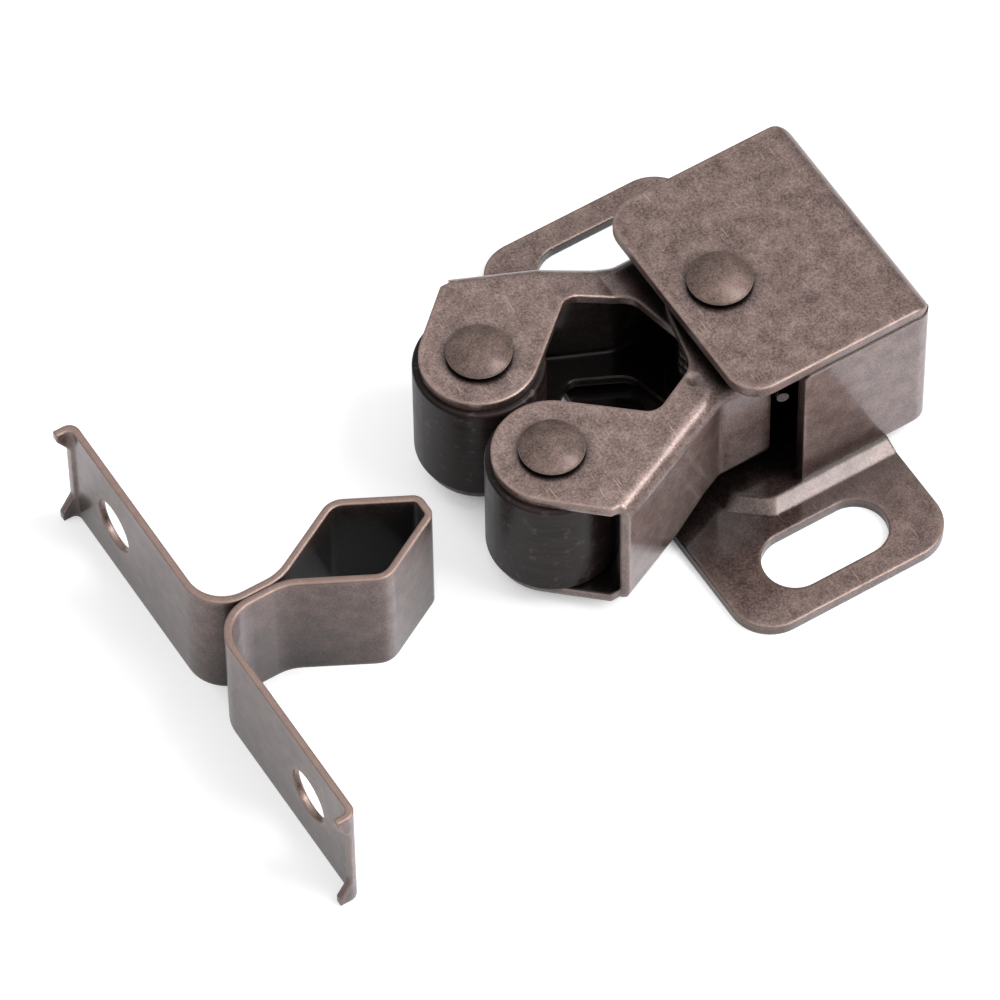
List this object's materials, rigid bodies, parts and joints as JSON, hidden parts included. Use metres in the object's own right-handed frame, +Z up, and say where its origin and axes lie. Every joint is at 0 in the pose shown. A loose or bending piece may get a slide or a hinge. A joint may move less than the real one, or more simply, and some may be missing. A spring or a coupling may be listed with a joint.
{
  "type": "double roller catch",
  "caption": "Sprung cabinet catch whose rollers, on swinging arms, grip an arrow-headed strike; folded sheet on a slotted foot.",
  "frame": {"origin": "underside of the foot, midway between its two screw slots", "axes": "+X out of the mouth towards the strike, +Y along the foot, +Z up from the surface that the foot is screwed to"},
  "size_m": [0.0544, 0.0396, 0.0151],
  "materials": {
    "plated_frame": "pressed steel with an antique copper plate, satin and lightly mottled",
    "plated_arms": "pressed steel with an antique copper plate, satin, brighter on the edges",
    "plated_rivets": "steel rivets with a dark antique copper plate",
    "spring_wire": "bright spring wire",
    "roller_plastic": "moulded black plastic, slightly shiny with fine scuffs",
    "plated_strike": "folded steel strip with an antique copper plate, brighter along its cut edges"
  },
  "bodies": {
    "frame": {"frame": "plated_frame", "pivot_rivet": "plated_rivets", "spring": "spring_wire"},
    "arm_right": {"arm_right": "plated_arms", "roller_rivet_right": "plated_rivets"},
    "arm_left": {"arm_left": "plated_arms", "roller_rivet_left": "plated_rivets"},
    "roller_right": {"roller_right": "roller_plastic"},
    "roller_left": {"roller_left": "roller_plastic"},
    "strike": {"strike": "plated_strike"}
  },
  "joints": [
    {"name": "arm_right_swing", "type": "hinge", "parent": "frame", "child": "arm_right", "pos_m": [-0.0005, 0, 0.0066], "axis": [0, 0, 1], "range_deg": [0, 14], "stiffness_Nm_per_rad": 0.05, "springref_deg": -14.32, "deforming": ["spring"]},
    {"name": "arm_left_swing", "type": "hinge", "parent": "frame", "child": "arm_left", "pos_m": [-0.0005, 0, 0.0066], "axis": [0, 0, -1], "range_deg": [0, 14], "stiffness_Nm_per_rad": 0.05, "springref_deg": -14.32, "deforming": ["spring"]},
    {"name": "roller_right_spin", "type": "hinge", "parent": "arm_right", "child": "roller_right", "pos_m": [0.01575, 0.00462, 0.0066], "axis": [0, 0, 1], "continuous": true},
    {"name": "roller_left_spin", "type": "hinge", "parent": "arm_left", "child": "roller_left", "pos_m": [0.01575, -0.00462, 0.0066], "axis": [0, 0, 1], "continuous": true},
    {"name": "strike_slide", "type": "slide", "parent": "frame", "child": "strike", "axis": [-1, 0, 0], "range_m": [-0.02, 0.004]}
  ]
}
